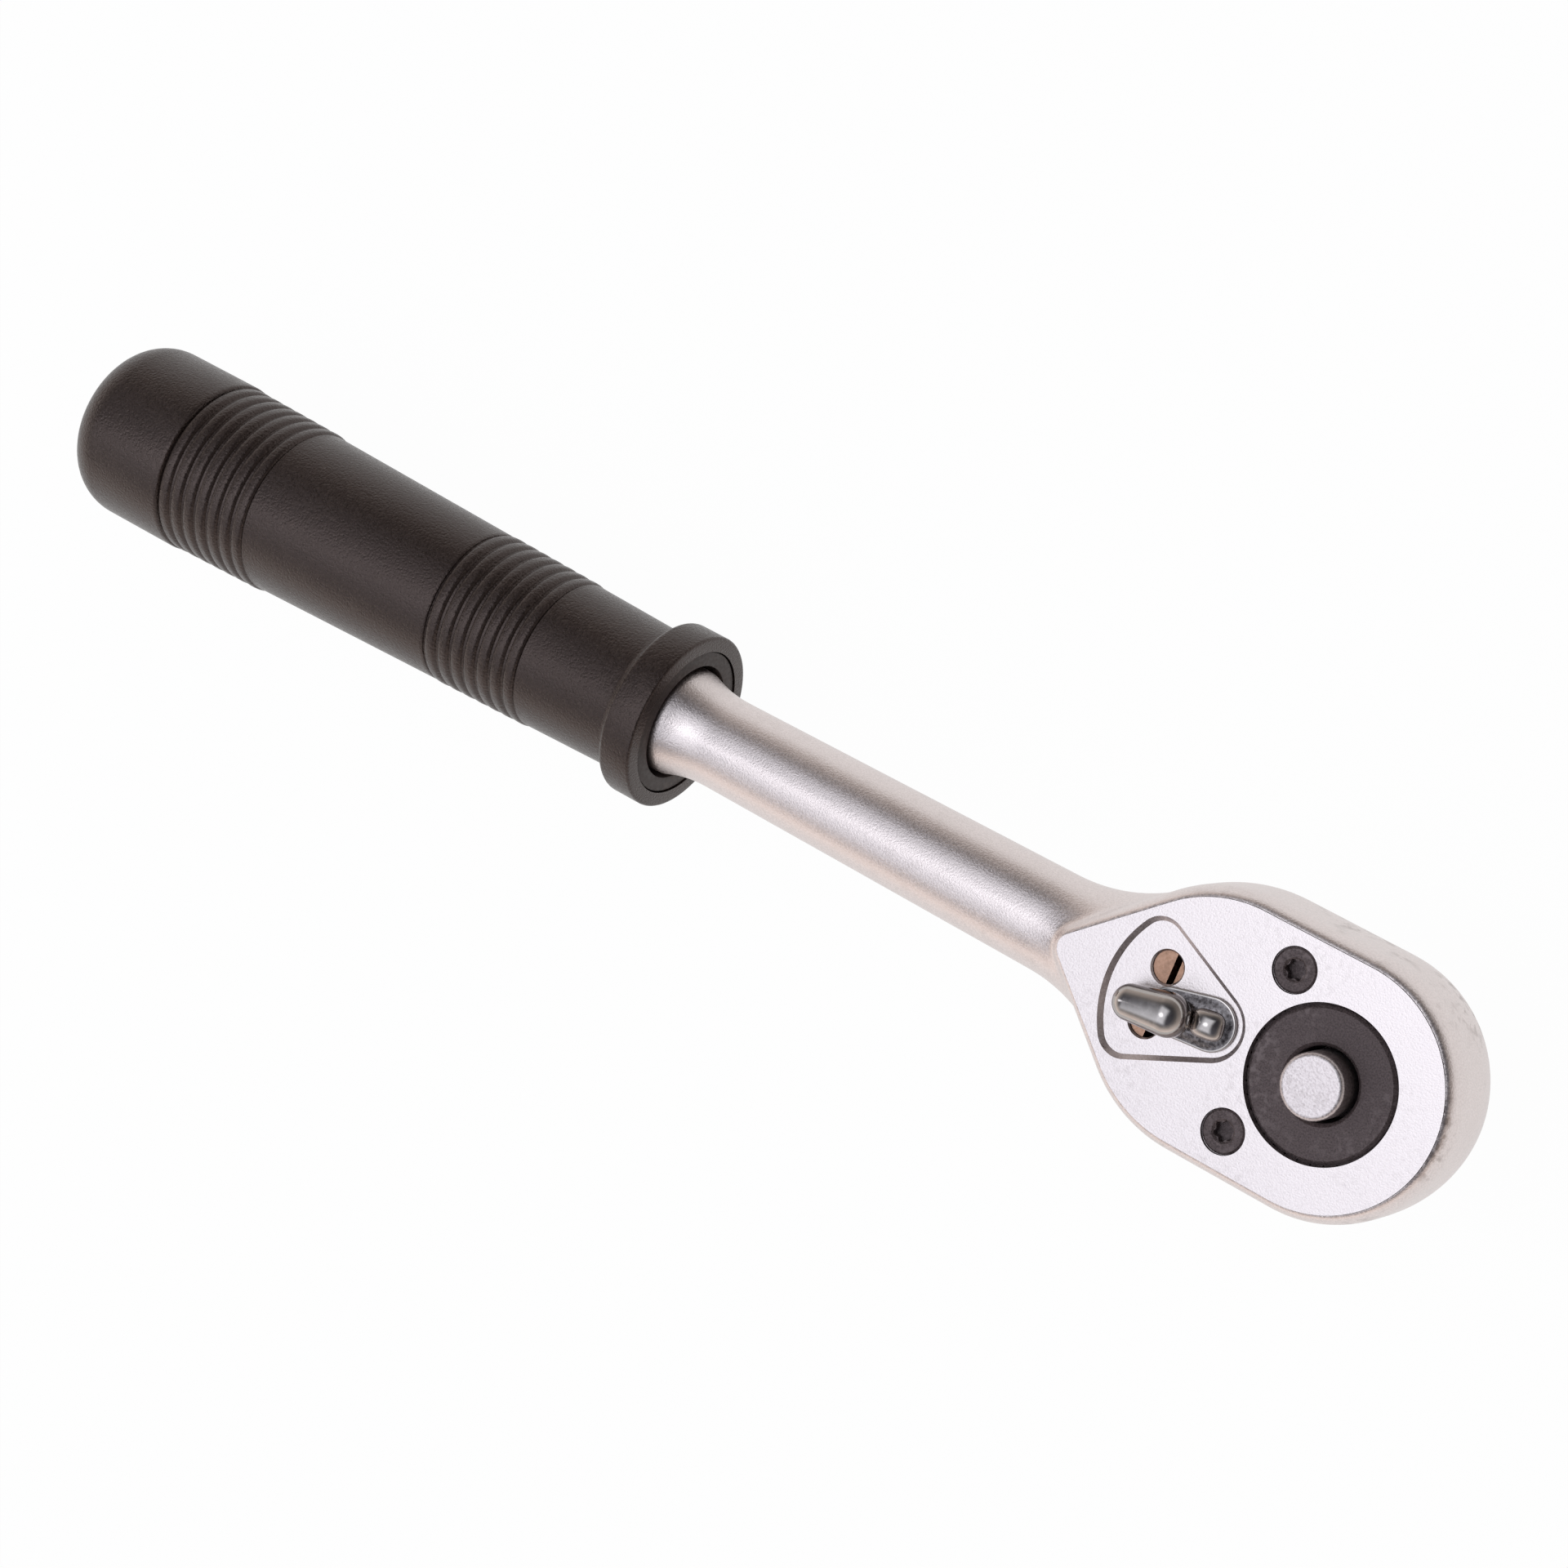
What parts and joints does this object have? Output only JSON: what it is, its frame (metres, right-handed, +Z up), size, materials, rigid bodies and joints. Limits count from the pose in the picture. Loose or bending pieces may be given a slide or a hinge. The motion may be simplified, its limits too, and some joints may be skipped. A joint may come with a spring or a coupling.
{
  "type": "reversible ratchet",
  "caption": "Reversible ratchet with a pear-shaped head, square drive with a quick-release button, reversing lever with a thumb knob, round shank and a ribbed moulded grip.",
  "frame": {"origin": "centre of the drive square's end face", "axes": "+Z up the drive axis from the square to the cover plate, +X from the drive axis to the nose of the head, the handle along -X"},
  "size_m": [0.2533, 0.0386, 0.0403],
  "materials": {
    "satin_chrome": "satin, fine bead-blasted grain",
    "polished_chrome": "polished",
    "black_oxide": "black oxide, fine grain",
    "pawl_steel": "bronze-toned heat tint",
    "bright_steel": "ground",
    "spring_steel": "drawn wire",
    "core_moulding": "matte",
    "grip_moulding": "fine texture, matte",
    "seal_rubber": "matte"
  },
  "bodies": {
    "handle": {"ratchet_body": "satin_chrome", "cover_plate": "satin_chrome", "cover_screw_left": "black_oxide", "cover_screw_right": "black_oxide", "grip_core": "core_moulding", "grip_sleeve": "grip_moulding"},
    "drive": {"drive_gear": "black_oxide", "drive_seal_ring": "seal_rubber", "release_spring": "spring_steel"},
    "release": {"release_button": "satin_chrome"},
    "ball": {"socket_ball": "bright_steel"},
    "selector": {"reverse_lever": "polished_chrome", "selector_shaft": "polished_chrome", "pawl": "pawl_steel"},
    "plunger": {"pawl_plunger": "bright_steel", "pawl_spring": "spring_steel"}
  },
  "joints": [
    {"name": "drive_turn", "type": "hinge", "parent": "handle", "child": "drive", "pos_m": [0, 0, 0.0254], "axis": [0, 0, 1], "continuous": true},
    {"name": "button_press", "type": "slide", "parent": "drive", "child": "release", "axis": [0, 0, -1], "range_m": [0, 0.003], "stiffness_N_per_m": 1500, "springref_m": -0.003, "deforming": ["release_spring"]},
    {"name": "ball_retreat", "type": "slide", "parent": "drive", "child": "ball", "axis": [0, -1, 0], "range_m": [0, 0.0012]},
    {"name": "lever_throw", "type": "hinge", "parent": "handle", "child": "selector", "pos_m": [-0.0178, 0, 0.0254], "axis": [0, 0, -1], "range_deg": [0, 20]},
    {"name": "plunger_slide", "type": "slide", "parent": "handle", "child": "plunger", "axis": [-1, 0, 0], "range_m": [0, 0.0012], "stiffness_N_per_m": 1500, "springref_m": -0.003}
  ],
  "couplings": [
    {"joint": "ball_retreat", "follows": "button_press", "ratio": 0.4}
  ]
}
